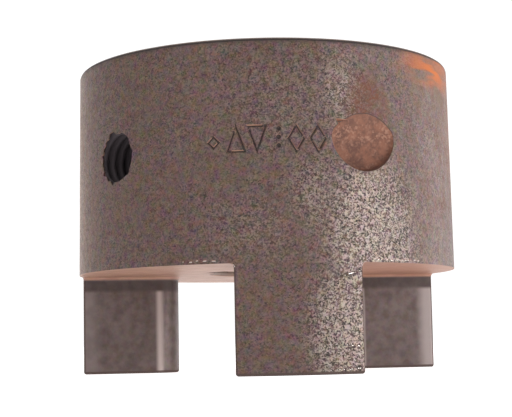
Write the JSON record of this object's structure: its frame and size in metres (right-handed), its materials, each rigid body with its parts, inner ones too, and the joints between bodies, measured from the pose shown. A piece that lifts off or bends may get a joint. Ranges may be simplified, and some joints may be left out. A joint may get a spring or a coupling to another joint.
{
  "type": "jaw coupling hub",
  "caption": "Cast iron hub of a flexible jaw coupling: keyed bore, wedge jaws that drive an elastomer spider, and a socket set screw over the keyway.",
  "frame": {"origin": "on the bore axis, in the plane of the jaw tips", "axes": "+Z along the bore from the jaw tips to the back face; one jaw is centred on -Y"},
  "size_m": [0.0642, 0.0642, 0.0511],
  "materials": {
    "cast_iron_body": "as-cast brown-grey oxide with light rust",
    "black_oxide_screw": "black oxide"
  },
  "bodies": {
    "hub": {"hub": "cast_iron_body"},
    "set_screw": {"set_screw": "black_oxide_screw"}
  },
  "joints": [
    {"name": "set_screw_travel", "type": "slide", "parent": "hub", "child": "set_screw", "axis": [-0.8329, -0.5534, 0], "range_m": [-0.00317, 0.02064]}
  ]
}
